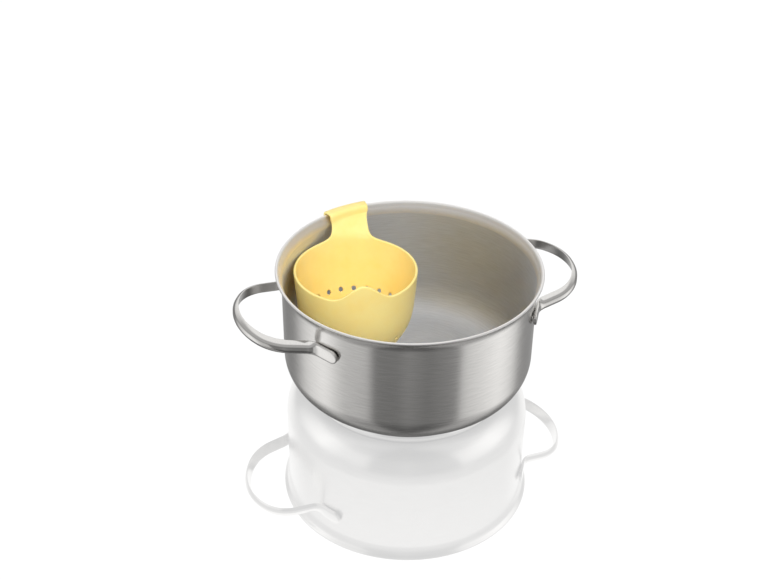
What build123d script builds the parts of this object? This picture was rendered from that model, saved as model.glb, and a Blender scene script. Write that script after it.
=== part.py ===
from build123d import *
import math
import os

os.makedirs("parts", exist_ok=True)

# Egg poacher pan: a welded casserole pan with a silicone poaching cup hung on its rim.
# Millimetres. Z is up, the pan's underside is at Z 0 and its axis is the Z axis.
# The two handles lie along X. Angles are in degrees, counted from +X towards +Y.

# Pan vessel
pan_inner_radius = 100.0
pan_height = 108.0
wall = 0.7
corner_radius = 27.8
lip_bend_radius = 14.4
lip_angle = 47.8

# Base under the vessel
base_cap_thickness = 0.6
base_core_thickness = 3.2
base_overhang = 7.5
base_edge_radius = 2.0
base_groove = 0.3

# Handles
strap_thickness = 3.0
strap_width = 8.8
pad_height = 11.2
pad_tip_half_span = 65.4
pad_tip_radius = 5.2
pad_gap = 0.25
handle_drop = 27.3
handle_projection = 40.6
handle_rise = 6.8
loop_end_radius = 51.7
loop_end_angle = 34.0
loop_shoulder_radius = 30.0
leg_lean = 9.0
leg_bend_radius = 9.0
rise_start = 6.0
pad_blend_length = 8.0
pad_blend_radius = 20.0
strap_outer_round = 2.0
strap_inner_round = 0.6

# Handle welds
nugget_diameter = 5.0
nuggets_per_pad = 3
nugget_pitch = 5.6

# Poaching cup
cup_rim_radius = 50.4
cup_wall = 2.0
cup_floor_clearance = 17.5
cup_curved_depth = 28.0
cup_taper = 3.2
cup_floor_radius = 31.0
cup_floor_round = 5.0
cup_drop = 18.0
cup_wall_clearance = 0.9
cup_azimuth = 133.0
hump_azimuth = -100.0
hump_height = 14.5
hump_half_width = 23.0

# Tongue and hook of the cup
tongue_azimuth = 78.0
hook_azimuth = 102.0
hook_width = 36.0
hook_clearance = 0.5
hook_lip_length = 10.0
hook_bend_radius = 2.4
tongue_neck_width = 33.0
tongue_shoulder_width = 50.0
tongue_seam = 0.1
tongue_top_share = 0.66
tongue_height_shares = (0.0, 0.12, 0.22, 0.36, 0.52, 0.75, 1.0)
tongue_spread_shares = (1.0, 0.86, 0.42, 0.14, 0.03, 0.0, 0.0)

# Holes of the cup
hole_diameter = 4.0
wall_ring_heights = (20.5, 11.0)
wall_ring_counts = (24, 20)
floor_ring_radii = (24.0, 13.0)
floor_ring_counts = (12, 6)

# Worked out from the sizes above
wall_radius = pan_inner_radius + wall
vessel_bottom = base_cap_thickness + base_core_thickness
pan_floor = vessel_bottom + wall
lip_start = pan_height - (lip_bend_radius + wall) * math.sin(math.radians(lip_angle))
lip_radius = wall_radius + lip_bend_radius * (1 - math.cos(math.radians(lip_angle)))
base_cap_radius = wall_radius - corner_radius + base_overhang
cup_rim = pan_height - cup_drop
cup_bottom = pan_floor + cup_floor_clearance
cup_straight_depth = cup_rim - cup_bottom - cup_curved_depth
cup_offset = pan_inner_radius - cup_wall_clearance - cup_rim_radius
pad_radius = wall_radius + pad_gap + strap_thickness / 2
handle_height = pan_height - handle_drop
overrun = strap_width


def polar(radius, angle):
    """A point on a circle about the origin."""
    turn = math.radians(angle)
    return (radius * math.cos(turn), radius * math.sin(turn))


def blend(low, high, share):
    """The value that lies at this share of the way from low to high."""
    return low + (high - low) * share


def spun(outline):
    """A solid spun about the pan's axis from an outline in the XZ plane."""
    return revolve(Plane.XZ * make_face(outline), Axis.Z)


def lip_point(radius, angle):
    """A point on the flared lip: radius is counted from the centre of the lip's bend."""
    turn = math.radians(angle)
    return (
        wall_radius + lip_bend_radius - radius * math.cos(turn),
        lip_start + radius * math.sin(turn),
    )


def corner_height(radius):
    """The height of the vessel's underside at this radius, on the rounded corner."""
    out = max(radius - (wall_radius - corner_radius), 0)
    return vessel_bottom + corner_radius - math.sqrt(corner_radius**2 - out**2)


def vessel():
    """The drawn sheet: floor, rounded corner, straight wall and flared lip."""
    half = lip_angle / 2
    outer_bend = lip_bend_radius
    inner_bend = lip_bend_radius + wall
    edge = lip_point(outer_bend + wall / 2, lip_angle)
    run = math.radians(lip_angle)
    nose = (edge[0] + wall / 2 * math.sin(run), edge[1] + wall / 2 * math.cos(run))
    corner_out = wall_radius - corner_radius
    inner_corner = corner_radius - wall
    diagonal = math.sqrt(0.5)
    outline = Curve() + [
        Line((0, vessel_bottom), (corner_out, vessel_bottom)),
        ThreePointArc(
            (corner_out, vessel_bottom),
            (
                corner_out + corner_radius * diagonal,
                vessel_bottom + corner_radius * (1 - diagonal),
            ),
            (wall_radius, vessel_bottom + corner_radius),
        ),
        Line((wall_radius, vessel_bottom + corner_radius), (wall_radius, lip_start)),
        ThreePointArc(
            (wall_radius, lip_start), lip_point(outer_bend, half), lip_point(outer_bend, lip_angle)
        ),
        ThreePointArc(lip_point(outer_bend, lip_angle), nose, lip_point(inner_bend, lip_angle)),
        ThreePointArc(
            lip_point(inner_bend, lip_angle), lip_point(inner_bend, half), (pan_inner_radius, lip_start)
        ),
        Line((pan_inner_radius, lip_start), (pan_inner_radius, pan_floor + inner_corner)),
        ThreePointArc(
            (pan_inner_radius, pan_floor + inner_corner),
            (corner_out + inner_corner * diagonal, pan_floor + inner_corner * (1 - diagonal)),
            (corner_out, pan_floor),
        ),
        Line((corner_out, pan_floor), (0, pan_floor)),
        Line((0, pan_floor), (0, vessel_bottom)),
    ]
    return spun(outline)


def core():
    """The aluminium disc, pressed against the vessel's underside and its rounded corner."""
    outer = base_cap_radius - base_cap_thickness
    bend = base_edge_radius - base_cap_thickness
    flat = wall_radius - corner_radius
    diagonal = math.sqrt(0.5)
    middle = (flat + outer) / 2
    outline = Curve() + [
        Line((0, base_cap_thickness), (outer - bend, base_cap_thickness)),
        ThreePointArc(
            (outer - bend, base_cap_thickness),
            (outer - bend * (1 - diagonal), base_cap_thickness + bend * (1 - diagonal)),
            (outer, base_cap_thickness + bend),
        ),
        Line((outer, base_cap_thickness + bend), (outer, corner_height(outer))),
        ThreePointArc(
            (outer, corner_height(outer)), (middle, corner_height(middle)), (flat, vessel_bottom)
        ),
        Line((flat, vessel_bottom), (0, vessel_bottom)),
        Line((0, vessel_bottom), (0, base_cap_thickness)),
    ]
    return spun(outline)


def cap():
    """The steel capsule round the core. Its upper edge stops at a groove under the vessel."""
    inner = base_cap_radius - base_cap_thickness
    bend = base_edge_radius - base_cap_thickness
    top = corner_height(inner) - base_groove
    diagonal = math.sqrt(0.5)
    outline = Curve() + [
        Line((0, 0), (base_cap_radius - base_edge_radius, 0)),
        ThreePointArc(
            (base_cap_radius - base_edge_radius, 0),
            (
                base_cap_radius - base_edge_radius * (1 - diagonal),
                base_edge_radius * (1 - diagonal),
            ),
            (base_cap_radius, base_edge_radius),
        ),
        Line((base_cap_radius, base_edge_radius), (base_cap_radius, top)),
        Line((base_cap_radius, top), (inner, top)),
        Line((inner, top), (inner, base_edge_radius)),
        ThreePointArc(
            (inner, base_edge_radius),
            (inner - bend * (1 - diagonal), base_cap_thickness + bend * (1 - diagonal)),
            (inner - bend, base_cap_thickness),
        ),
        Line((inner - bend, base_cap_thickness), (0, base_cap_thickness)),
        Line((0, base_cap_thickness), (0, 0)),
    ]
    return spun(outline)


def handle_half():
    """The plan of half the strap's centre line, from its outer end to the pad's tip."""
    reach = wall_radius + handle_projection - strap_thickness / 2
    end_centre = reach - loop_end_radius
    turn = math.radians(loop_end_angle)
    first = (
        end_centre + loop_end_radius * math.cos(turn),
        loop_end_radius * math.sin(turn),
    )
    shoulder = (
        first[0] - loop_shoulder_radius * math.cos(turn),
        first[1] - loop_shoulder_radius * math.sin(turn),
    )
    last_angle = 90 - leg_lean

    def on_end(angle):
        point = polar(loop_end_radius, angle)
        return (end_centre + point[0], point[1])

    def on_shoulder(angle):
        point = polar(loop_shoulder_radius, angle)
        return (shoulder[0] + point[0], shoulder[1] + point[1])

    leg_start = on_shoulder(last_angle)
    normal = polar(1, last_angle)
    along = polar(1, last_angle + 90)
    # The bend touches the leg's line and the pad's circle, and its centre is outside both.
    base = (leg_start[0] + leg_bend_radius * normal[0], leg_start[1] + leg_bend_radius * normal[1])
    far = pad_radius + leg_bend_radius
    half_b = base[0] * along[0] + base[1] * along[1]
    rest = base[0] ** 2 + base[1] ** 2 - far**2
    step = -half_b - math.sqrt(half_b**2 - rest)
    centre = (base[0] + step * along[0], base[1] + step * along[1])
    leg_end = (centre[0] - leg_bend_radius * normal[0], centre[1] - leg_bend_radius * normal[1])
    pad_start_angle = math.degrees(math.atan2(centre[1], centre[0]))
    pad_start = polar(pad_radius, pad_start_angle)
    between = (
        (leg_end[0] + pad_start[0]) / 2 - centre[0],
        (leg_end[1] + pad_start[1]) / 2 - centre[1],
    )
    size = math.hypot(*between)
    bend_middle = (
        centre[0] + between[0] / size * leg_bend_radius,
        centre[1] + between[1] / size * leg_bend_radius,
    )
    tip_angle = math.degrees(math.asin(pad_tip_half_span / pad_radius))
    edges = [
        ThreePointArc(on_end(0), on_end(loop_end_angle / 2), on_end(loop_end_angle)),
        ThreePointArc(
            on_shoulder(loop_end_angle),
            on_shoulder((loop_end_angle + last_angle) / 2),
            leg_start,
        ),
        Line(leg_start, leg_end),
        ThreePointArc(leg_end, bend_middle, pad_start),
        ThreePointArc(
            pad_start, polar(pad_radius, (pad_start_angle + tip_angle) / 2), polar(pad_radius, tip_angle)
        ),
    ]
    return edges, pad_start_angle, tip_angle


def upright_faces(solid, centre):
    """The strap's upright faces: those that look away from the loop's middle, and the rest."""
    away, towards = [], []
    for face in solid.faces():
        spot = face.center()
        normal = face.normal_at(spot)
        if abs(normal.Z) < math.sin(math.radians(1)):
            side = normal.X * (spot.X - centre) + normal.Y * spot.Y
            (away if side > 0 else towards).append(face)
    return away, towards


def long_edges(faces):
    """The edges that run along the strap, without the short upright ones."""
    return [
        edge
        for face in faces
        for edge in face.edges()
        if math.hypot((edge @ 0).X - (edge @ 1).X, (edge @ 0).Y - (edge @ 1).Y) > pad_gap
    ]


def strap_band():
    """The strap seen from its side: wide on the pan's wall, then narrower and rising."""
    half_pad = pad_height / 2
    half_strap = strap_width / 2
    start = wall_radius - rise_start
    narrow = start + pad_blend_length
    far = wall_radius + handle_projection + overrun
    near = pad_radius - handle_projection
    slope = handle_rise / (handle_projection + rise_start)
    narrow_height = handle_height + slope * pad_blend_length
    far_height = handle_height + slope * (far - start)
    outline = Polyline(
        (near, handle_height - half_pad),
        (start, handle_height - half_pad),
        (narrow, narrow_height - half_strap),
        (far, far_height - half_strap),
        (far, far_height + half_strap),
        (narrow, narrow_height + half_strap),
        (start, handle_height + half_pad),
        (near, handle_height + half_pad),
        close=True,
    )
    band = make_face(outline)
    knees = [v for v in band.vertices() if near + pad_gap < v.X < far - pad_gap]
    return fillet(knees, pad_blend_radius)


def tip_corners(tip_angle):
    """The two corners that are cut off a pad's tip, as one solid for the pad on the +Y side."""
    span = 2 * pad_tip_radius
    seen = Pos(-span / 2, 0) * Rectangle(span, pad_height)
    ends = [corner for corner in seen.vertices() if abs(corner.X) < pad_gap]
    around = Rectangle(span, pad_height + overrun)
    corners = around - fillet(ends, pad_tip_radius)
    corners -= Pos(-span, 0) * Rectangle(2 * span - 2 * pad_tip_radius, pad_height + 2 * overrun)
    tip = polar(pad_radius, tip_angle)
    side = Plane(
        origin=(tip[0], tip[1], handle_height),
        x_dir=(-math.sin(math.radians(tip_angle)), math.cos(math.radians(tip_angle)), 0),
        z_dir=(math.cos(math.radians(tip_angle)), math.sin(math.radians(tip_angle)), 0),
    )
    return extrude(side * corners, strap_thickness, both=True)


def handle():
    """One crowned strap loop, on the +X side: two flat pads, two legs and a round end."""
    edges, _, tip_angle = handle_half()
    half = trace(Curve() + edges, line_width=strap_thickness)
    plan = half + mirror(half, Plane.XZ)
    tall = extrude(Pos(0, 0, handle_height - pad_height) * plan, 2 * pad_height + handle_rise)
    band = extrude(Plane.XZ * strap_band(), pad_tip_half_span + overrun, both=True)
    strap = tall & band
    centre = wall_radius + handle_projection - loop_end_radius
    away, towards = upright_faces(strap, centre)
    strap = fillet(long_edges(away), strap_outer_round)
    away, towards = upright_faces(strap, centre)
    strap = fillet(long_edges(towards), strap_inner_round)
    corners = tip_corners(tip_angle)
    return strap - corners - mirror(corners, Plane.XZ)


def welds():
    """The weld nuggets of one handle: short round studs from the wall to the pads."""
    _, start_angle, tip_angle = handle_half()
    middle = (start_angle + tip_angle) / 2
    step = math.degrees(nugget_pitch / wall_radius)
    ring = extrude(
        Pos(0, 0, handle_height - nugget_diameter)
        * (Circle(wall_radius + pad_gap) - Circle(wall_radius)),
        2 * nugget_diameter,
    )
    studs = []
    for side in (1, -1):
        for place in range(nuggets_per_pad):
            angle = side * (middle + (place - (nuggets_per_pad - 1) / 2) * step)
            direction = polar(1, angle)
            seat = polar(wall_radius - overrun / 2, angle)
            at = Plane(origin=(*seat, handle_height), z_dir=(*direction, 0))
            stud = extrude(at * Circle(nugget_diameter / 2), overrun)
            studs.append((ring & stud).solids()[0])
    return Compound(studs)


def turned(solid, angle):
    """The same solid turned about the pan's axis."""
    return Rot(0, 0, angle) * solid


def cup_radius(height):
    """The cup's outer radius on its straight wall, at a height above the pan's underside."""
    return cup_rim_radius - cup_taper * (cup_rim - height) / cup_straight_depth


def cup_curve():
    """The outer line of the cup's lower wall: centre, radius and the angles of its arc."""
    start = (cup_rim_radius - cup_taper, cup_rim - cup_straight_depth)
    end = (cup_floor_radius, cup_bottom)
    lean = math.atan2(cup_taper, cup_straight_depth)
    chord = math.hypot(start[0] - end[0], start[1] - end[1])
    fall = math.atan2(start[0] - end[0], start[1] - end[1])
    radius = chord / 2 / math.sin(fall - lean)
    centre = (start[0] - radius * math.cos(lean), start[1] + radius * math.sin(lean))
    return centre, radius, math.degrees(lean), math.degrees(2 * fall - lean)


def curve_point(depth, angle):
    """A point of the lower wall, this far inside its outer face, this far down its arc."""
    centre, radius, *_ = cup_curve()
    turn = math.radians(angle)
    return (
        centre[0] + (radius - depth) * math.cos(turn),
        centre[1] - (radius - depth) * math.sin(turn),
    )


def cup_shell():
    """The cup's wall and floor as spun, tall enough for the raised wave of its rim."""
    centre, radius, first, last = cup_curve()
    top = cup_rim + hump_height + cup_wall
    turn = math.radians(first)
    inner_top = (cup_radius(top) - cup_wall / math.cos(turn), top)
    floor_top = cup_bottom + cup_wall
    low = math.degrees(math.asin((centre[1] - floor_top) / (radius - cup_wall)))
    outer = [
        Line((cup_radius(top), top), curve_point(0, first)),
        ThreePointArc(curve_point(0, first), curve_point(0, (first + last) / 2), curve_point(0, last)),
        Line(curve_point(0, last), (0, cup_bottom)),
    ]
    inner = [
        Line((0, floor_top), curve_point(cup_wall, low)),
        ThreePointArc(
            curve_point(cup_wall, low),
            curve_point(cup_wall, (first + low) / 2),
            curve_point(cup_wall, first),
        ),
        Line(curve_point(cup_wall, first), inner_top),
    ]
    edges = outer + [Line((0, cup_bottom), (0, floor_top))] + inner
    edges.append(Line(inner_top, (cup_radius(top), top)))
    face = make_face(Curve() + edges)
    corner = [
        v
        for v in face.vertices()
        if abs(v.Y - cup_bottom) < pad_gap and v.X > cup_floor_radius / 2
    ]
    return revolve(Plane.XZ * fillet(corner, cup_floor_round), Axis.Z)


def rim_cutter():
    """All that is above the rim: level round the cup, with the raised wave left at +X."""
    slope = 2 * math.atan(hump_height / hump_half_width)
    radius = hump_half_width / 2 / math.sin(slope)
    side, lift = radius * math.sin(slope / 2), radius * (1 - math.cos(slope / 2))
    beyond = 2 * cup_rim_radius
    top = hump_height + 2 * cup_wall
    half = hump_half_width
    line = Curve() + [
        Line((-beyond, top), (-beyond, 0)),
        Line((-beyond, 0), (-half, 0)),
        ThreePointArc((-half, 0), (-half + side, lift), (-half / 2, hump_height / 2)),
        ThreePointArc(
            (-half / 2, hump_height / 2), (-side, hump_height - lift), (0, hump_height)
        ),
        ThreePointArc((0, hump_height), (side, hump_height - lift), (half / 2, hump_height / 2)),
        ThreePointArc((half / 2, hump_height / 2), (half - side, lift), (half, 0)),
        Line((half, 0), (beyond, 0)),
        Line((beyond, 0), (beyond, top)),
        Line((beyond, top), (-beyond, top)),
    ]
    front = extrude(Plane.YZ * make_face(line), beyond)
    back = Box(beyond, 2 * beyond, top, align=(Align.MAX, Align.CENTER, Align.MIN))
    return Pos(0, 0, cup_rim) * (front + back)


def cup_holes():
    """The drills for the rings of holes in the lower wall and in the floor."""
    centre, radius, *_ = cup_curve()
    drills = []
    for height, count in zip(wall_ring_heights, wall_ring_counts):
        lean = math.asin((centre[1] - cup_bottom - height) / radius)
        inside = curve_point(2 * cup_wall, math.degrees(lean))
        for copy in range(count):
            spin = 360 * copy / count
            seat = polar(inside[0], spin)
            way = polar(math.cos(lean), spin)
            at = Plane(origin=(*seat, inside[1]), z_dir=(*way, -math.sin(lean)))
            drills.append(extrude(at * Circle(hole_diameter / 2), 3 * cup_wall))
    for ring, count in zip(floor_ring_radii, floor_ring_counts):
        for copy in range(count):
            seat = polar(ring, 360 * copy / count)
            at = Plane(origin=(*seat, cup_bottom - cup_wall))
            drills.append(extrude(at * Circle(hole_diameter / 2), 3 * cup_wall))
    at = Plane(origin=(0, 0, cup_bottom - cup_wall))
    drills.append(extrude(at * Circle(hole_diameter / 2), 3 * cup_wall))
    return drills


def tongue_slice(height, share, half_width, slope):
    """A level slice of the tongue: part of a ring between the cup's rim and the pan's wall."""
    cup_axis = polar(cup_offset, cup_azimuth)
    leg_radius = pan_inner_radius - hook_clearance
    foot_radius = cup_rim_radius - tongue_seam
    foot = polar(foot_radius, tongue_azimuth)
    seat = polar(leg_radius, hook_azimuth)
    middle = (
        blend(cup_axis[0] + foot[0], seat[0], share),
        blend(cup_axis[1] + foot[1], seat[1], share),
    )
    facing = blend(tongue_azimuth, hook_azimuth, share)
    radius = blend(foot_radius, leg_radius, share)
    depth = blend(cup_wall - 2 * tongue_seam, cup_wall, share) * math.sqrt(1 + slope**2)
    normal = polar(1, facing)
    centre = (middle[0] - radius * normal[0], middle[1] - radius * normal[1])
    spread = math.degrees(math.asin(half_width / radius))

    def at(reach, angle):
        point = polar(reach, facing + angle)
        return (centre[0] + point[0], centre[1] + point[1], height)

    outer = ThreePointArc(at(radius, -spread), at(radius, 0), at(radius, spread))
    inner = ThreePointArc(
        at(radius - depth, spread), at(radius - depth, 0), at(radius - depth, -spread)
    )
    sides = [
        Line(at(radius, spread), at(radius - depth, spread)),
        Line(at(radius - depth, -spread), at(radius, -spread)),
    ]
    return make_face(Curve() + [outer, sides[0], inner, sides[1]])


def tongue():
    """The neck from the back of the cup's rim to the hook, leaning back to the pan's wall."""
    rise = cup_drop * tongue_top_share
    gap = math.dist(
        polar(pan_inner_radius - hook_clearance, hook_azimuth),
        [a + b for a, b in zip(polar(cup_offset, cup_azimuth), polar(cup_rim_radius, tongue_azimuth))],
    )
    slices = []
    for step, spread in zip(tongue_height_shares, tongue_spread_shares):
        share = step * step * (3 - 2 * step)
        slope = gap / rise * 6 * step * (1 - step)
        width = blend(blend(tongue_neck_width, hook_width, share), tongue_shoulder_width, spread)
        slices.append(tongue_slice(cup_rim + rise * step, share, width / 2, slope))
    return loft(slices)


def hook():
    """The hook over the pan's flared lip: inner leg, bridge and short outer leg."""
    inner = pan_inner_radius - hook_clearance - cup_wall / 2
    outer = lip_radius + wall + hook_clearance + cup_wall / 2
    top = pan_height + hook_clearance + cup_wall / 2
    foot = cup_rim + cup_drop * tongue_top_share
    line = FilletPolyline(
        (inner, foot), (inner, top), (outer, top), (outer, top - hook_lip_length),
        radius=hook_bend_radius,
    )
    half_turn = math.degrees(math.asin(hook_width / 2 / (pan_inner_radius - hook_clearance)))
    legs = revolve(Plane.XZ * trace(line, line_width=cup_wall), Axis.Z, 2 * half_turn)
    return turned(legs, hook_azimuth - half_turn)


def cup():
    """The silicone cup: bowl with a raised wave on its rim, drilled low, tongue and hook."""
    bowl = cup_shell() - turned(rim_cutter(), hump_azimuth)
    bowl -= cup_holes()
    cup_axis = polar(cup_offset, cup_azimuth)
    return Pos(*cup_axis, 0) * bowl + tongue() + hook()


pieces = {
    "pan_body": vessel(),
    "base_core": core(),
    "base_cap": cap(),
    "right_handle": handle(),
    "left_handle": turned(handle(), 180),
    "right_handle_welds": welds(),
    "left_handle_welds": turned(welds(), 180),
    "poaching_cup": cup(),
}
for name, solid in pieces.items():
    export_step(solid, f"parts/{name}.step")
    print(name, round(solid.volume), solid.is_valid)
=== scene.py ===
import math

import bmesh
import bpy
from mathutils import Euler, Matrix, Vector


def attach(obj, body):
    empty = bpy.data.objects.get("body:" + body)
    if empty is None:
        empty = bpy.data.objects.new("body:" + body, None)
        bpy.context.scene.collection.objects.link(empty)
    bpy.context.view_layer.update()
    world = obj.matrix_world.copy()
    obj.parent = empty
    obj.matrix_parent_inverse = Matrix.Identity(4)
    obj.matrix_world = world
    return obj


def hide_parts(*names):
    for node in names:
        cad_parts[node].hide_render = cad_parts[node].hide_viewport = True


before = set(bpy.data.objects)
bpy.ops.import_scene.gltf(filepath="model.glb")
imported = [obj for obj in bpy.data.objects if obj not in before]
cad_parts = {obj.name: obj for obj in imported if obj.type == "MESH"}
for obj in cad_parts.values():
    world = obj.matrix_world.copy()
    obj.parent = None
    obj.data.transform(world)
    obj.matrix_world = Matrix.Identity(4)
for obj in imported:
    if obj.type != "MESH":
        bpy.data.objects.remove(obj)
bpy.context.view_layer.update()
MM = 0.001

# Camera. It stands in front of the pan, a little to its left, and looks down into it.
CAMERA_PLACE = (-276.7, -747.3, 608.0)
CAMERA_TURN = -19.0
CAMERA_DIP = 33.27
CAMERA_ROLL = 0.61
SENSOR_WIDTH = 36.0
LENS = 55.96

# Floor and studio.
FLOOR_SIZE = 6000.0
FLOOR_WHITE = "#ffffff"
FLOOR_REFLECTION = 0.45
# How much of the tabletop's own white is a glow that only the camera sees, and its strength.
FLOOR_GLOW_SHARE = 0.85
FLOOR_GLOW = 1.09
ROOM_LIGHT = 0.58
KEY_LAMP_PLACE = (-350, -1100, 1250)
KEY_LAMP_TARGET = (-20, 0, 70)
KEY_LAMP_SIZE = 1300
KEY_LAMP_POWER = 25

# Pan: drawn sheet with a rounded corner and a flared lip that ends in a thicker, rounded edge.
WALL_RADIUS = 100.7
WALL_THICKNESS = 0.7
VESSEL_BOTTOM = 3.8
CORNER_RADIUS = 27.8
LIP_START = 96.81
LIP_BEND_RADIUS = 14.4
LIP_ANGLE = 43.6
LIP_EDGE_GROWTH = 0.7
LIP_EDGE_ANGLE = 12.0
# Where the sheet has swollen to the edge's full thickness, as a share of the edge's angle.
LIP_SWELL_SHARE = 0.4
# Height over which the lip's upward faces take the lip's finish, whose lighter colour is a painted
# highlight.
LIP_FINISH_AND_HIGHLIGHT_START = 98.5
PAN_STEPS = 160
CORNER_STEPS = 16
LIP_STEPS = 10
SWELL_STEPS = 3
NOSE_STEPS = 4
SPIN_MERGE_GAP = 0.005

# Finishes. How bright the metal is at the bottom of its lines and grain, against their top.
LINE_SHADE = 0.9
# Steps of the noise in one radian round the axis, so few that the grain draws out into lines.
LINE_STEPS_PER_RADIAN = 6
GRAIN_DETAIL = 3.0
GRAIN_ROUGHNESS = 0.6
GRAIN_HEIGHT = 0.02
# The noise values between which a finish runs from its least to its greatest.
NOISE_RANGE = (0.3, 0.7)
METAL_NOISE_STOPS = (0.38, 0.62)
# How far the roughness strays from its middle value, as a share of it.
METAL_ROUGHNESS_SHARE = 0.12
SILICONE_ROUGHNESS_SHARE = 0.15
SILICONE_ROUGHNESS = 0.4
# Heights over the floor between which the base edge turns dark: painted shade in the seam under the
# vessel.
SEAM_SHADE_HEIGHTS = (3.4, 3.7)
# Colour of the painted shade in that seam.
SEAM_SHADE_COLOUR = "#2a2827"
BASE_COLOUR = "#e6e4e1"

# Strap handles: the centre line in plan, then the section along it.
PAD_GAP = 0.25
PAD_THICKNESS = 2.6
PAD_RADIUS = WALL_RADIUS + PAD_GAP + PAD_THICKNESS / 2
PAD_BEND_RADIUS = 200.0
HANDLE_REACH = 138.05
HANDLE_HEIGHT = 80.7
HANDLE_RISE = 0.146
RISE_START = 94.7
END_RADIUS = 51.7
END_ANGLE = 34.0
SHOULDER_RADIUS = 30.0
LEG_LEAN = 9.0
LEG_BEND_RADIUS = 11.0
PAD_TIP_HALF_SPAN = 65.4
STRAP_HEIGHT = 10.6
STRAP_EDGE = 0.7
STRAP_CROWN = 2.9
STRAP_LEAN = 16.0
PAD_HEIGHT = 11.2
PAD_TIP_ROUND = 5.2
PAD_CHANGE_START = 9.0
PAD_CHANGE_LENGTH = 13.0
STATION_STEP = 1.6
SECTION_POINTS = 40
SECTION_SQUARENESS = 0.45
MIRROR_MERGE_GAP = 0.05

# Poaching cup.
CUP_AXIS = (-33.21, 35.62)
CUP_RIM_HEIGHT = 90.0
CUP_RIM_RADIUS = 50.4
CUP_WALL = 2.0
LEVEL_HEIGHT = 48.0
CUP_COLUMNS = 48
TONGUE_COLUMNS = 5
CUP_ROUNDINGS = 2
TONGUE_AZIMUTH = 78.0
HUMP_AZIMUTH = -100.0
HUMP_HEIGHT = 15.3
HUMP_HALF_WIDTH = 24.0
HOOK_AZIMUTH = 102.0
HOOK_LEG_RADIUS = 99.5
HOOK_HALF_WIDTH = 18.0
CUP_EDGE_ROUND = 0.75
CUP_EDGE_STEPS = 3
# The least angle between two faces, in degrees, at which their edge is rounded.
CUP_EDGE_ANGLE = 60
HOLE_DIAMETER = 4.0
DRILL_SIDES = 24
DRILL_LENGTH = 10.0
# Edges shorter than this are what the drilling leaves over, and are taken out.
LEAST_EDGE = 0.003
# Rings of holes: height of the middle, radius at the outer face, lean down, number of holes.
WALL_RINGS = ((42.5, 44.4, 33.0, 24), (33.0, 40.0, 47.0, 20))
FLOOR_RINGS = ((24.0, 12), (13.0, 6), (0.0, 1))
# Radius and height of the outer face, from the floor's middle to just under the rim.
CUP_PROFILE = (
    (0.0, 22.0), (14.0, 22.0), (24.0, 22.0), (29.5, 22.4), (34.0, 24.6), (37.0, 28.5),
    (40.2, 33.5), (43.8, 40.5), (46.6, 48.0), (47.9, 57.0), (48.7, 66.0), (49.5, 75.0),
    (50.1, 84.0),
)
# Height over the cup's rim and half width of the tongue's rows, up to the hook.
TONGUE_ROWS = ((8.2, 15.6), (11.4, 16.4), (13.6, 17.6))
# How far the rim rises towards the tongue: degrees from its middle, and the rise.
SHOULDER_LIFTS = ((18.8, 3.0), (26.3, 0.6), (33.8, 0.1), (41.0, 0.0))
# Radius and height of the hook's inner face, over the pan's lip and down.
HOOK_PROFILE = (
    (99.5, 105.2), (99.6, 107.9), (100.6, 108.5), (103.0, 108.5), (105.5, 108.5), (106.5, 107.9),
    (106.6, 105.0), (106.6, 100.2),
)


def linear(hex_colour):
    """The linear RGBA value of an sRGB hex colour."""
    channels = [int(hex_colour[i:i + 2], 16) / 255 for i in (1, 3, 5)]
    turned = [c / 12.92 if c <= 0.04045 else ((c + 0.055) / 1.055) ** 2.4 for c in channels]
    return (*turned, 1)


def add_node(tree, kind, settings=None, links=None, values=None):
    """A node of a tree with its settings, socket values and incoming links."""
    node = tree.nodes.new(kind)
    for name, value in (settings or {}).items():
        setattr(node, name, value)
    for name, value in (values or {}).items():
        node.inputs[name].default_value = value
    for name, output in (links or {}).items():
        tree.links.new(output, node.inputs[name])
    return node


def new_material(name):
    """A material and its node tree, still empty."""
    material = bpy.data.materials.new(name)
    material.use_nodes = True
    tree = material.node_tree
    tree.nodes.clear()
    return material, tree


def ramp(tree, fac, stops):
    """A colour ramp from a list of (place, grey or colour)."""
    node = add_node(tree, "ShaderNodeValToRGB", links={"Fac": fac})
    line = node.color_ramp
    while len(line.elements) < len(stops):
        line.elements.new(1)
    for element, (place, grey) in zip(line.elements, stops):
        element.position = place
        element.color = grey if isinstance(grey, tuple) else (grey, grey, grey, 1)
    return node.outputs["Color"]


def round_lines(tree, spacing, depth):
    """Fine lines that run round the pan's axis, as a noise stretched along the turn."""
    place = add_node(tree, "ShaderNodeTexCoord").outputs["Object"]
    split = add_node(tree, "ShaderNodeSeparateXYZ", links={"Vector": place})
    flat = add_node(tree, "ShaderNodeCombineXYZ",
                    links={"X": split.outputs["X"], "Y": split.outputs["Y"]})
    reach = add_node(tree, "ShaderNodeVectorMath", {"operation": "LENGTH"},
                     {0: flat.outputs["Vector"]})
    turn = add_node(tree, "ShaderNodeMath", {"operation": "ARCTAN2"},
                    {0: split.outputs["Y"], 1: split.outputs["X"]})
    stretched = add_node(tree, "ShaderNodeMath", {"operation": "MULTIPLY"},
                         {0: turn.outputs["Value"]},
                         {1: spacing * MM * LINE_STEPS_PER_RADIAN})
    joined = add_node(tree, "ShaderNodeCombineXYZ", links={
        "X": split.outputs["Z"], "Y": reach.outputs["Value"], "Z": stretched.outputs["Value"]})
    return grain(tree, joined.outputs["Vector"], spacing, depth)


def even_grain(tree, spacing, depth):
    """A grain that is the same in every direction."""
    place = add_node(tree, "ShaderNodeTexCoord").outputs["Object"]
    return grain(tree, place, spacing, depth)


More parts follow.
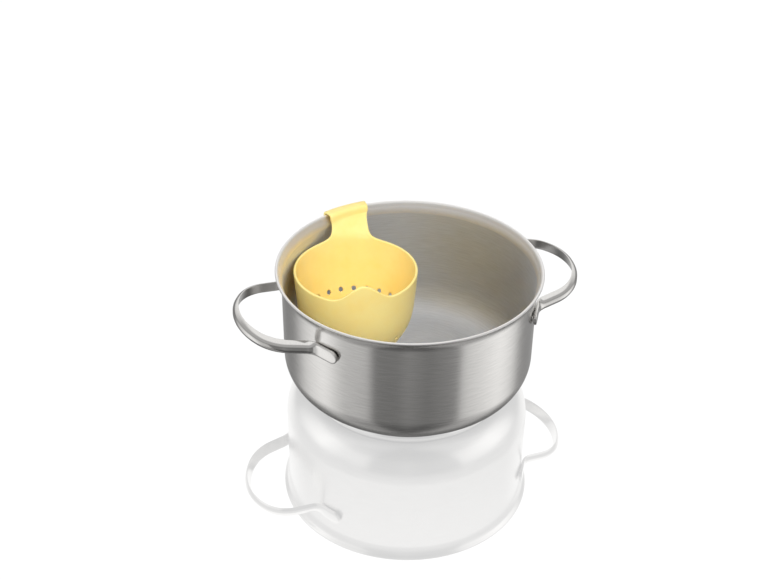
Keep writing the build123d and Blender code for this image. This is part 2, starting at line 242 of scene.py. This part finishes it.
def grain(tree, place, spacing, depth):
    """A noise at this spacing, as a value and as a bump."""
    noise = add_node(tree, "ShaderNodeTexNoise", {"noise_dimensions": "3D"}, {"Vector": place},
                     {"Scale": 1 / (spacing * MM), "Detail": GRAIN_DETAIL,
                      "Roughness": GRAIN_ROUGHNESS})
    bump = add_node(tree, "ShaderNodeBump", links={"Height": noise.outputs["Fac"]},
                    values={"Strength": depth, "Distance": GRAIN_HEIGHT * MM})
    return noise.outputs["Fac"], bump.outputs["Normal"]


def varied(tree, value, middle, share):
    """A socket that follows a noise from below to above a middle value by this share."""
    low, high = NOISE_RANGE
    spread = add_node(tree, "ShaderNodeMapRange", links={"Value": value},
                      values={"From Min": low, "From Max": high,
                              "To Min": middle * (1 - share), "To Max": middle * (1 + share)})
    return spread.outputs["Result"]


def steel(name, pattern, colour, roughness, spread, spacing, depth):
    """Stainless steel sheet or aluminium with the finish of its making process.

    Lines that run round the axis draw reflections out into upright bands, and an even grain
    blurs them all ways alike. Lines and grain are 0.25 to 0.8 mm wide here, coarser than the
    real ones of 0.05 mm, so that they show.
    """
    material, tree = new_material(name)
    lines, normal = pattern(tree, spacing, depth)
    tangent = add_node(tree, "ShaderNodeTangent", {"direction_type": "RADIAL", "axis": "Z"})
    bright = linear(colour)
    dim = (*[channel * LINE_SHADE for channel in bright[:3]], 1)
    tint = ramp(tree, lines, tuple(zip(METAL_NOISE_STOPS, (dim, bright))))
    shader = add_node(
        tree, "ShaderNodeBsdfPrincipled",
        links={"Base Color": tint, "Normal": normal, "Tangent": tangent.outputs["Tangent"],
               "Roughness": varied(tree, lines, roughness, METAL_ROUGHNESS_SHARE)},
        values={"Metallic": 1.0, "Anisotropic": spread, "Anisotropic Rotation": 0.25})
    add_node(tree, "ShaderNodeOutputMaterial", links={"Surface": shader.outputs["BSDF"]})
    return material


def paint_seam_shade(material, colour):
    """Painted shade: the base's colour turns dark over its edge, in the seam under the vessel, as a
    dark line.
    """
    tree = material.node_tree
    place = add_node(tree, "ShaderNodeTexCoord").outputs["Object"]
    height = add_node(tree, "ShaderNodeSeparateXYZ", links={"Vector": place}).outputs["Z"]
    low, high = SEAM_SHADE_HEIGHTS
    share = add_node(tree, "ShaderNodeMapRange", links={"Value": height},
                     values={"From Min": low * MM, "From Max": high * MM}).outputs["Result"]
    tint = ramp(tree, share, ((0.0, linear(colour)), (1.0, linear(SEAM_SHADE_COLOUR))))
    shader = next(node for node in tree.nodes if node.type == "BSDF_PRINCIPLED")
    tree.links.new(tint, shader.inputs["Base Color"])


def silicone():
    """Liquid silicone, moulded in a blasted steel mould: it glows softly in the wall and its
    skin is dull, with the mould's fine grain and a faint unevenness of the pigment."""
    material, tree = new_material("moulded_yellow_silicone")
    skin, normal = even_grain(tree, spacing=0.5, depth=0.06)
    # The pigment's clouds are 20 mm wide, coarser than the real ones, so that they show.
    clouds, _ = even_grain(tree, spacing=20, depth=0)
    tint = ramp(tree, clouds, ((0.35, linear("#ffe28e")), (0.65, linear("#ffe698"))))
    shader = add_node(
        tree, "ShaderNodeBsdfPrincipled",
        links={"Roughness": varied(tree, skin, SILICONE_ROUGHNESS, SILICONE_ROUGHNESS_SHARE),
               "Normal": normal, "Base Color": tint},
        values={"IOR": 1.41, "Subsurface Weight": 0.45, "Subsurface Radius": (1.0, 0.92, 0.65),
                "Subsurface Scale": 2.5 * MM})
    add_node(tree, "ShaderNodeOutputMaterial", links={"Surface": shader.outputs["BSDF"]})
    return material


def floor_material():
    """A white glossy tabletop: white to the camera, with a weak mirror image of the pan."""
    material, tree = new_material("white_glossy_tabletop")
    diffuse = add_node(tree, "ShaderNodeBsdfDiffuse", values={"Color": linear(FLOOR_WHITE)})
    glow = add_node(tree, "ShaderNodeEmission",
                    values={"Color": (1, 1, 1, 1), "Strength": FLOOR_GLOW})
    camera_ray = add_node(tree, "ShaderNodeLightPath").outputs["Is Camera Ray"]
    glow_share = add_node(tree, "ShaderNodeMath", {"operation": "MULTIPLY"},
                          {0: camera_ray}, {1: FLOOR_GLOW_SHARE})
    base = add_node(tree, "ShaderNodeMixShader",
                    links={0: glow_share.outputs["Value"], 1: diffuse.outputs["BSDF"],
                           2: glow.outputs["Emission"]})
    mirror = add_node(tree, "ShaderNodeBsdfGlossy",
                      values={"Color": (1, 1, 1, 1), "Roughness": 0.0})
    mixed = add_node(tree, "ShaderNodeMixShader", values={0: FLOOR_REFLECTION},
                     links={1: base.outputs["Shader"], 2: mirror.outputs["BSDF"]})
    add_node(tree, "ShaderNodeOutputMaterial", links={"Surface": mixed.outputs["Shader"]})
    return material


def add_object(name, data):
    """An object in the scene that holds a mesh, a lamp or a camera."""
    made = bpy.data.objects.new(name, data)
    bpy.context.scene.collection.objects.link(made)
    return made


def add_shape(name, shape, *materials):
    """An object in the scene with this shape as its mesh."""
    mesh = bpy.data.meshes.new(name)
    shape.to_mesh(mesh)
    shape.free()
    for material in materials:
        mesh.materials.append(material)
    return add_object(name, mesh)


def link_piece(name, shape, body, node, *materials):
    """An object of the part: it rides on a body and stands in for a CAD node, which it hides."""
    piece = add_shape(name, shape, *materials)
    for polygon in piece.data.polygons:
        polygon.use_smooth = True
    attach(piece, body)
    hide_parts(node)
    return piece


def turned_point(radius, azimuth):
    """A point in plan at this distance and azimuth."""
    angle = math.radians(azimuth)
    return Vector((radius * math.cos(angle), radius * math.sin(angle)))


def turn_from(middle, azimuth):
    """The turn from a middle azimuth to another, from -180 to 180 degrees."""
    return (azimuth - middle + 180) % 360 - 180


def arc(centre, radius, start, end, steps):
    """Points of an arc in a profile, as (distance from the axis, height)."""
    middle = Vector(centre)
    return [middle + turned_point(radius, start + (end - start) * step / steps)
            for step in range(steps + 1)]


def spin_profile(shape, points, steps, slot=0):
    """Spins a line of (distance, height) points a full turn about the axis."""
    line = [shape.verts.new(Vector((x, 0, z)) * MM) for x, z in points]
    edges = [shape.edges.new(pair) for pair in zip(line, line[1:])]
    before = len(shape.faces)
    bmesh.ops.spin(shape, geom=line + edges, cent=(0, 0, 0), axis=(0, 0, 1),
                   angle=math.radians(360), steps=steps, use_merge=True)
    bmesh.ops.remove_doubles(shape, verts=shape.verts, dist=SPIN_MERGE_GAP * MM)
    shape.faces.ensure_lookup_table()
    for face in shape.faces[before:]:
        face.material_index = slot


def make_pan(*finishes):
    """The drawn pan: the inner face and the outer face, which meet on the lip's rounded edge.

    The finishes are those of the outside, the inside and the lip; the lip's lighter colour is a
    painted highlight on its upward faces.
    """
    floor = VESSEL_BOTTOM + WALL_THICKNESS
    flat = WALL_RADIUS - CORNER_RADIUS
    corner = (flat, VESSEL_BOTTOM + CORNER_RADIUS)
    bend = (WALL_RADIUS + LIP_BEND_RADIUS, LIP_START)
    tip = 180 - LIP_ANGLE
    neck, swollen = tip + LIP_EDGE_ANGLE, tip + LIP_EDGE_ANGLE * LIP_SWELL_SHARE
    nose_radius = WALL_THICKNESS / 2 + LIP_EDGE_GROWTH
    nose = Vector(bend) + turned_point(LIP_BEND_RADIUS + WALL_THICKNESS / 2, tip)

    def face_line(bend_radius, corner_radius, bottom, growth):
        """One face of the sheet, from the middle of the floor to the start of the lip's edge."""
        low = [(0, bottom), (flat / 2, bottom)] + arc(corner, corner_radius, -90, 0, CORNER_STEPS)
        lip = arc(bend, bend_radius, 180, neck, LIP_STEPS)
        swell = arc(bend, bend_radius + growth, swollen, tip, SWELL_STEPS)
        return low + lip + swell

    inner = face_line(LIP_BEND_RADIUS + WALL_THICKNESS, CORNER_RADIUS - WALL_THICKNESS, floor,
                      LIP_EDGE_GROWTH)
    outer = face_line(LIP_BEND_RADIUS, CORNER_RADIUS, VESSEL_BOTTOM, -LIP_EDGE_GROWTH)
    shape = bmesh.new()
    for slot, line, start in ((1, inner, tip), (0, outer, tip - 180)):
        edge = arc(nose, nose_radius, start, tip - 90, NOSE_STEPS)[1:]
        spin_profile(shape, line + edge, PAN_STEPS, slot)
    bmesh.ops.recalc_face_normals(shape, faces=shape.faces)
    # The lip's upward faces take the lip's finish, with its painted highlight.
    for face in shape.faces:
        if face.calc_center_median().z > LIP_FINISH_AND_HIGHLIGHT_START * MM and face.normal.z > 0:
            face.material_index = 2
    link_piece("drawn_pan", shape, "pan", "pan_body", *finishes)


def plan_path():
    """Half a handle's centre line in plan: points, headings and lengths from the outer end.

    It is walked as arcs that touch: round end, shoulder, straight leg, bend and pad.
    """
    point, heading, length = Vector((HANDLE_REACH, 0)), 90.0, 0.0
    path = [(point.copy(), heading, length)]

    def walk(radius, turn, closer=1.0, finer=1):
        """An arc to the left, or to the right where the turn is negative.

        closer sets the points closer together towards its end, and finer makes more of them.
        """
        nonlocal point, heading, length
        side = math.copysign(1, turn)
        steps = finer * max(2, round(abs(math.radians(turn)) * radius / STATION_STEP))
        left = turned_point(1, heading + 90)
        centre = point + left * radius * side
        for step in range(1, steps + 1):
            share = 1 - (1 - step / steps) ** closer
            swing = Matrix.Rotation(math.radians(turn * share), 2)
            point = centre + swing @ (-left * radius * side)
            path.append((point.copy(), heading + turn * share,
                         length + abs(math.radians(turn)) * radius * share))
        heading += turn
        length = path[-1][2]

    walk(END_RADIUS, END_ANGLE)
    walk(SHOULDER_RADIUS, 90 - LEG_LEAN - END_ANGLE)
    ahead = turned_point(1, heading)
    right = turned_point(1, heading - 90)
    base = point + right * LEG_BEND_RADIUS
    along = base.dot(ahead)
    leg = -along - math.sqrt(along**2 - base.length_squared + (PAD_RADIUS + LEG_BEND_RADIUS)**2)
    start = point.copy()
    steps = round(leg / STATION_STEP)
    for step in range(1, steps + 1):
        point = start + ahead * leg * step / steps
        path.append((point.copy(), heading, length + leg * step / steps))
    length += leg
    centre = point + right * LEG_BEND_RADIUS
    pad_start = math.degrees(math.atan2(centre.y, centre.x))
    walk(LEG_BEND_RADIUS, pad_start + 90 - heading)
    pad_length = length
    centre = point - turned_point(PAD_BEND_RADIUS, pad_start)
    pad_end = math.degrees(math.asin((PAD_TIP_HALF_SPAN - centre.y) / PAD_BEND_RADIUS))
    walk(PAD_BEND_RADIUS, pad_end - pad_start, closer=2.0, finer=2)
    return path, pad_length


def smooth_share(value):
    """A soft step from 0 to 1."""
    value = min(max(value, 0), 1)
    return value * value * (3 - 2 * value)


def strap_point(x, y, point, heading, flat, tip):
    """A point of the strap's section: crowned outside, flat inside, and flat all over on a pad.

    x and y are its place on a circle, flat runs from 0 on the strap to 1 on the pad, and tip is
    the length left to the pad's tip.
    """
    tip_width = math.sqrt(1 - (1 - min(max(tip / PAD_TIP_ROUND, 0.0), 1.0)) ** 2)
    height = STRAP_HEIGHT + (PAD_HEIGHT - STRAP_HEIGHT) * flat - 2 * PAD_TIP_ROUND * (1 - tip_width)
    thickness = STRAP_EDGE + (PAD_THICKNESS - STRAP_EDGE) * flat
    across = math.copysign(abs(y) ** SECTION_SQUARENESS, y) * height / 2
    out = math.copysign(abs(x) ** SECTION_SQUARENESS, x) * thickness / 2
    if x > 0:
        out += STRAP_CROWN * (1 - flat) * (1 - (2 * across / height) ** 2)
    lean = math.radians(STRAP_LEAN) * (1 - flat)
    side = out * math.cos(lean) - across * math.sin(lean)
    up = across * math.cos(lean) + out * math.sin(lean)
    rise = HANDLE_RISE * max(point.x - RISE_START, 0)
    outward = turned_point(side, heading - 90)
    return Vector((point.x + outward.x, point.y + outward.y, HANDLE_HEIGHT + rise + up))


def extrude_row(shape, row, keys):
    """Extrudes a row of edges. Each new vertex takes the key of the one that it comes from."""
    made = set(bmesh.ops.extrude_edge_only(shape, edges=row)["geom"])
    links = [(vertex, edge.other_vert(vertex)) for vertex in keys for edge in vertex.link_edges]
    fresh = {far: keys[near] for near, far in links if far in made}
    edges = {edge for vertex in fresh for edge in vertex.link_edges}
    return [edge for edge in edges if all(v in fresh for v in edge.verts)], fresh


def make_handle(name, turn, node, material):
    """A strap handle: half a sweep along its centre line, mirrored to the other half."""
    path, pad_length = plan_path()
    full = path[-1][2]
    shape = bmesh.new()
    ring = bmesh.ops.create_circle(shape, segments=SECTION_POINTS, radius=1)["verts"]
    keys = {vertex: (vertex.co.x, vertex.co.y) for vertex in ring}
    row = shape.edges[:]
    for station, (point, heading, length) in enumerate(path):
        if station:
            row, keys = extrude_row(shape, row, keys)
        flat = smooth_share((length - pad_length + PAD_CHANGE_START) / PAD_CHANGE_LENGTH)
        for vertex, (x, y) in keys.items():
            vertex.co = strap_point(x, y, point, heading, flat, full - length) * MM
    bmesh.ops.edgeloop_fill(shape, edges=row)
    bmesh.ops.mirror(shape, geom=shape.verts[:] + shape.edges[:] + shape.faces[:],
                     axis="Y", merge_dist=MIRROR_MERGE_GAP * MM)
    bmesh.ops.recalc_face_normals(shape, faces=shape.faces)
    bmesh.ops.rotate(shape, verts=shape.verts, matrix=Matrix.Rotation(math.radians(turn), 3, "Z"))
    link_piece(name, shape, "pan", node, material)


def rim_lift(azimuth):
    """How far the cup's rim stands above its level part: the raised wave and the shoulders."""
    beside = abs(turn_from(TONGUE_AZIMUTH, azimuth))
    (near, high), *others = SHOULDER_LIFTS
    for far, low in others:
        if beside <= far:
            return high + (low - high) * max(beside - near, 0) / (far - near)
        near, high = far, low
    away = math.radians(turn_from(HUMP_AZIMUTH, azimuth))
    reach = abs(math.sin(away) * CUP_RIM_RADIUS) if abs(away) < math.pi / 2 else HUMP_HALF_WIDTH
    share = min(reach / HUMP_HALF_WIDTH, 1)
    return HUMP_HEIGHT * (1 + math.cos(math.pi * share)) / 2


def tongue_point(lift, half_width, place):
    """A point of the tongue's back face. place runs from -1 to 1 across the tongue."""
    start = SHOULDER_LIFTS[0][1]
    share = smooth_share((lift - start) / (TONGUE_ROWS[-1][0] - start))
    foot = Vector(CUP_AXIS) + turned_point(CUP_RIM_RADIUS, TONGUE_AZIMUTH)
    seat = turned_point(HOOK_LEG_RADIUS, HOOK_AZIMUTH)
    middle = foot.lerp(seat, share)
    facing = TONGUE_AZIMUTH + (HOOK_AZIMUTH - TONGUE_AZIMUTH) * share
    radius = CUP_RIM_RADIUS + (HOOK_LEG_RADIUS - CUP_RIM_RADIUS) * share
    spread = math.degrees(math.asin(half_width / radius))
    flat = middle - turned_point(radius, facing) + turned_point(radius, facing + spread * place)
    return Vector((flat.x, flat.y, CUP_RIM_HEIGHT + lift))


def make_cup_sheet():
    """The cup's outer face as one sheet: floor, wall, wavy rim, tongue and hook."""
    shape = bmesh.new()
    spin_profile(shape, CUP_PROFILE + ((CUP_RIM_RADIUS, CUP_RIM_HEIGHT),), CUP_COLUMNS)
    step = 360 / CUP_COLUMNS
    bmesh.ops.rotate(shape, verts=shape.verts,
                     matrix=Matrix.Rotation(math.radians(TONGUE_AZIMUTH + step / 2), 3, "Z"))
    azimuths = {v: math.degrees(math.atan2(v.co.y, v.co.x)) for v in shape.verts}
    for vertex, azimuth in azimuths.items():
        share = max(vertex.co.z / MM - LEVEL_HEIGHT, 0) / (CUP_RIM_HEIGHT - LEVEL_HEIGHT)
        vertex.co.z += rim_lift(azimuth) * share * MM
    bmesh.ops.translate(shape, verts=shape.verts, vec=Vector((*CUP_AXIS, 0)) * MM)
    half = TONGUE_COLUMNS / 2 * step
    places = {v: turn_from(TONGUE_AZIMUTH, azimuth) / half
              for v, azimuth in azimuths.items() if v.is_boundary}
    # The tongue's own corners stand at 1, give or take rounding.
    places = {v: place for v, place in places.items() if abs(place) < 1.01}
    row = [e for e in shape.edges if e.is_boundary and all(v in places for v in e.verts)]
    hook_half = math.degrees(math.asin(HOOK_HALF_WIDTH / HOOK_LEG_RADIUS))
    for lift, width in TONGUE_ROWS:
        row, places = extrude_row(shape, row, places)
        for vertex, place in places.items():
            vertex.co = tongue_point(lift, width, place) * MM
    for radius, height in HOOK_PROFILE:
        row, places = extrude_row(shape, row, places)
        for vertex, place in places.items():
            flat = turned_point(radius, HOOK_AZIMUTH + hook_half * place)
            vertex.co = Vector((flat.x, flat.y, height)) * MM
    bmesh.ops.recalc_face_normals(shape, faces=shape.faces)
    lowest = min(shape.faces, key=lambda face: face.calc_center_median().z)
    if lowest.normal.z > 0:
        bmesh.ops.reverse_faces(shape, faces=shape.faces)
    return shape


def make_drills():
    """The rings of round drills that pierce the cup's lower wall and floor."""
    shape = bmesh.new()

    def drill(place, way):
        """One drill, with its middle at this place and along this way."""
        turn = way.to_track_quat("Z", "Y").to_matrix().to_4x4()
        bmesh.ops.create_cone(
            shape, cap_ends=True, segments=DRILL_SIDES, radius1=HOLE_DIAMETER / 2 * MM,
            radius2=HOLE_DIAMETER / 2 * MM, depth=DRILL_LENGTH * MM,
            matrix=Matrix.Translation(place * MM) @ turn)

    middle = Vector((*CUP_AXIS, 0))
    for height, radius, lean, count in WALL_RINGS:
        for copy in range(count):
            out = turned_point(1, 360 * copy / count).to_3d()
            fall = Vector((0, 0, -math.sin(math.radians(lean))))
            drill(middle + out * radius + Vector((0, 0, height)),
                  out * math.cos(math.radians(lean)) + fall)
    for radius, count in FLOOR_RINGS:
        for copy in range(count):
            out = turned_point(radius, 360 * copy / count).to_3d()
            drill(middle + out + Vector((0, 0, CUP_PROFILE[0][1])), Vector((0, 0, 1)))
    return add_shape("cup_drills", shape)


def apply_modifiers(piece):
    """Bakes a piece's modifiers into its mesh and takes out the faces without area."""
    graph = bpy.context.evaluated_depsgraph_get()
    finished = bpy.data.meshes.new_from_object(piece.evaluated_get(graph))
    shape = bmesh.new()
    shape.from_mesh(finished)
    bmesh.ops.remove_doubles(shape, verts=shape.verts, dist=LEAST_EDGE * MM)
    bmesh.ops.dissolve_degenerate(shape, edges=shape.edges, dist=LEAST_EDGE * MM)
    shape.to_mesh(finished)
    shape.free()
    piece.modifiers.clear()
    piece.data = finished


def make_cup(material):
    """The silicone cup: its sheet rounded off, given its wall, its rim softened and drilled."""
    cup = link_piece("soft_poaching_cup", make_cup_sheet(), "cup", "poaching_cup", material)
    rounding = cup.modifiers.new("rounding", "SUBSURF")
    rounding.levels = rounding.render_levels = CUP_ROUNDINGS
    wall = cup.modifiers.new("wall", "SOLIDIFY")
    wall.thickness = CUP_WALL * MM
    wall.offset = -1
    wall.use_even_offset = True
    edge = cup.modifiers.new("edge", "BEVEL")
    edge.width = CUP_EDGE_ROUND * MM
    edge.segments = CUP_EDGE_STEPS
    edge.limit_method = "ANGLE"
    edge.angle_limit = math.radians(CUP_EDGE_ANGLE)
    drills = make_drills()
    holes = cup.modifiers.new("holes", "BOOLEAN")
    holes.object = drills
    holes.operation = "DIFFERENCE"
    holes.solver = "EXACT"
    apply_modifiers(cup)
    bpy.data.objects.remove(drills)


def make_floor():
    """The floor plane under the pan. Metal sees the studio's panels instead of it."""
    shape = bmesh.new()
    bmesh.ops.create_grid(shape, x_segments=1, y_segments=1, size=FLOOR_SIZE * MM / 2)
    floor = add_shape("floor", shape, floor_material())
    floor.visible_glossy = False


# Light that metal sees below the horizon, from panels that stand round the pan, by bearing: a
# share of a full turn to the right, counted from the camera's side, where they leave a gap.
PANEL_BEARING_SHARES = (
    (0.00, 0.29), (0.05, 0.22), (0.127, 0.31), (0.140, 0.76), (0.25, 1.15), (0.30, 0.9),
    (0.34, 0.3), (0.40, 0.3), (0.50, 0.5), (0.60, 0.25), (0.65, 0.28), (0.70, 0.8), (0.77, 1.15),
    (0.83, 0.68), (0.895, 0.62), (0.915, 0.23), (0.97, 0.23), (1.0, 0.29),
)
# Light of the room above the horizon, by the same bearing: the back wall is white.
ROOM_BEARING_SHARES = ((0.0, 0.5), (0.3, 0.5), (0.4, 1.0), (0.6, 1.0), (0.7, 0.5), (1.0, 0.5))
# Shares by height, from 0 straight down over 0.5 at the horizon to 1 straight up.
PANEL_FOOT_SHARES = ((0.0, 0.42), (0.06, 0.4), (0.12, 0.5), (0.18, 1.0))
ROOM_START_SHARES = ((0.47, 0.0), (0.53, 1.0))
HORIZON_SHADE = ((0.40, 1.0), (0.47, 0.7), (0.53, 0.7), (0.60, 1.0))
CEILING_SHARES = ((0.80, 0.0), (0.87, 1.0))
CEILING_LIGHT = 1.05


def make_world():
    """A white room. Metal sees it as panels round the pan, and over them as grey walls with a
    white back wall and a white ceiling."""
    world = bpy.data.worlds.new("studio")
    world.use_nodes = True
    tree = world.node_tree
    tree.nodes.clear()
    bpy.context.scene.world = world
    way = add_node(tree, "ShaderNodeTexCoord").outputs["Generated"]
    from_camera = math.radians(-90 - CAMERA_TURN)
    turned = add_node(tree, "ShaderNodeMapping", {"vector_type": "POINT"}, {"Vector": way},
                      {"Rotation": (0, 0, from_camera)})
    bearing = add_node(tree, "ShaderNodeTexGradient", {"gradient_type": "RADIAL"},
                       {"Vector": turned.outputs["Vector"]}).outputs["Fac"]
    height = add_node(tree, "ShaderNodeSeparateXYZ", links={"Vector": way}).outputs["Z"]
    level = add_node(tree, "ShaderNodeMapRange", links={"Value": height},
                     values={"From Min": -1.0, "From Max": 1.0}).outputs["Result"]

    def mixed(kind, first, second, factor=None):
        """Two colours put together."""
        node = add_node(tree, "ShaderNodeMix", {"data_type": "RGBA", "blend_type": kind},
                        {"A": first, "B": second}, {"Factor": 1.0})
        if factor is not None:
            tree.links.new(factor, node.inputs["Factor"])
        return node.outputs["Result"]

    panels = mixed("MULTIPLY", ramp(tree, bearing, PANEL_BEARING_SHARES),
                   ramp(tree, level, PANEL_FOOT_SHARES))
    ceiling = add_node(tree, "ShaderNodeRGB")
    ceiling.outputs["Color"].default_value = (CEILING_LIGHT, CEILING_LIGHT, CEILING_LIGHT, 1)
    room = mixed("MIX", ramp(tree, bearing, ROOM_BEARING_SHARES), ceiling.outputs["Color"],
                 ramp(tree, level, CEILING_SHARES))
    surroundings = mixed("MIX", panels, room, ramp(tree, level, ROOM_START_SHARES))
    shaded = mixed("MULTIPLY", surroundings, ramp(tree, level, HORIZON_SHADE))
    seen_in_metal = add_node(tree, "ShaderNodeBackground", links={"Color": shaded})
    plain = add_node(tree, "ShaderNodeBackground",
                     values={"Color": (1, 1, 1, 1), "Strength": ROOM_LIGHT})
    shown = add_node(tree, "ShaderNodeBackground", values={"Color": (1, 1, 1, 1)})
    light_path = add_node(tree, "ShaderNodeLightPath")
    lit = add_node(tree, "ShaderNodeMixShader",
                   links={0: light_path.outputs["Is Glossy Ray"], 1: plain.outputs[0],
                          2: seen_in_metal.outputs[0]})
    final = add_node(tree, "ShaderNodeMixShader",
                     links={0: light_path.outputs["Is Camera Ray"], 1: lit.outputs[0],
                            2: shown.outputs[0]})
    add_node(tree, "ShaderNodeOutputWorld", links={"Surface": final.outputs[0]})


def add_softbox(name, place, target, size, power):
    """A square soft lamp that looks from one place to another. Metal doesn't show it."""
    lamp = bpy.data.lights.new(name, "AREA")
    lamp.shape = "SQUARE"
    lamp.size = size * MM
    lamp.energy = power
    holder = add_object(name, lamp)
    start = Vector(place) * MM
    aim = Vector(target) * MM - start
    holder.location = start
    holder.rotation_euler = aim.to_track_quat("-Z", "Y").to_euler()
    holder.visible_glossy = False


def make_camera():
    """The camera at the photograph's viewing angle."""
    data = bpy.data.cameras.new("camera")
    data.sensor_width = SENSOR_WIDTH
    data.lens = LENS
    data.clip_end = 2 * FLOOR_SIZE * MM
    camera = add_object("camera", data)
    tilt = Euler((math.radians(90 - CAMERA_DIP), 0, math.radians(CAMERA_TURN))).to_matrix()
    roll = Matrix.Rotation(math.radians(CAMERA_ROLL), 3, "Z")
    camera.rotation_euler = (tilt @ roll).to_euler()
    camera.location = Vector(CAMERA_PLACE) * MM
    bpy.context.scene.camera = camera


def dress(node, material):
    """Gives a CAD node its finish."""
    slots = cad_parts[node].data.materials
    slots.clear()
    slots.append(material)


make_camera()
make_world()
make_floor()
add_softbox("key_lamp", KEY_LAMP_PLACE, KEY_LAMP_TARGET, KEY_LAMP_SIZE, KEY_LAMP_POWER)

# The wall is brushed on a lathe: fine lines run round it and its reflections stand in bands.
outside_steel = steel("brushed_stainless_sheet", round_lines, "#e9e7e4",
                      roughness=0.22, spread=0.85, spacing=0.8, depth=0.03)
# The inside is only satin finished, which makes its reflections wide, soft and grey.
inside_steel = steel("satin_stainless_sheet", round_lines, "#e9ebef",
                     roughness=0.52, spread=0.65, spacing=0.8, depth=0.02)
# The lip's edge is buffed round after trimming, and its upward faces get a lighter colour as a
# painted highlight, so it shows as a bright line.
lip_steel_with_highlight = steel("buffed_stainless_lip_painted_highlight", even_grain, "#f8f6f4",
                  roughness=0.55, spread=0.0, spacing=0.4, depth=0.01)
# The base's capsule is pressed on and polished: a touch shinier than the wall.
base_steel = steel("polished_stainless_base", round_lines, BASE_COLOUR,
                   roughness=0.2, spread=0.6, spacing=0.25, depth=0.02)
# The seam over the base's edge gets painted shade: a dark line in its colour.
paint_seam_shade(base_steel, BASE_COLOUR)
# The straps are tumbled with stones before they are welded: an even shine without lines.
strap_steel = steel("tumbled_stainless_strap", even_grain, "#e2e0dd",
                    roughness=0.14, spread=0.0, spacing=0.4, depth=0.04)
# The core is punched from rolled aluminium plate: duller and greyer than the steel round it, and
# darker still as painted shade, so that the groove over it reads dark.
aluminium_with_groove_shade = steel("punched_aluminium_disc_groove_shade", even_grain, "#8d8d90",
                       roughness=0.45, spread=0.0, spacing=0.4, depth=0.04)
dress("base_core", aluminium_with_groove_shade)
dress("base_cap", base_steel)
dress("right_handle_welds", strap_steel)
dress("left_handle_welds", strap_steel)
make_pan(outside_steel, inside_steel, lip_steel_with_highlight)
make_handle("right_strap_handle", 0, "right_handle", strap_steel)
make_handle("left_strap_handle", 180, "left_handle", strap_steel)
make_cup(silicone())

bpy.context.scene.view_settings.view_transform = "Standard"
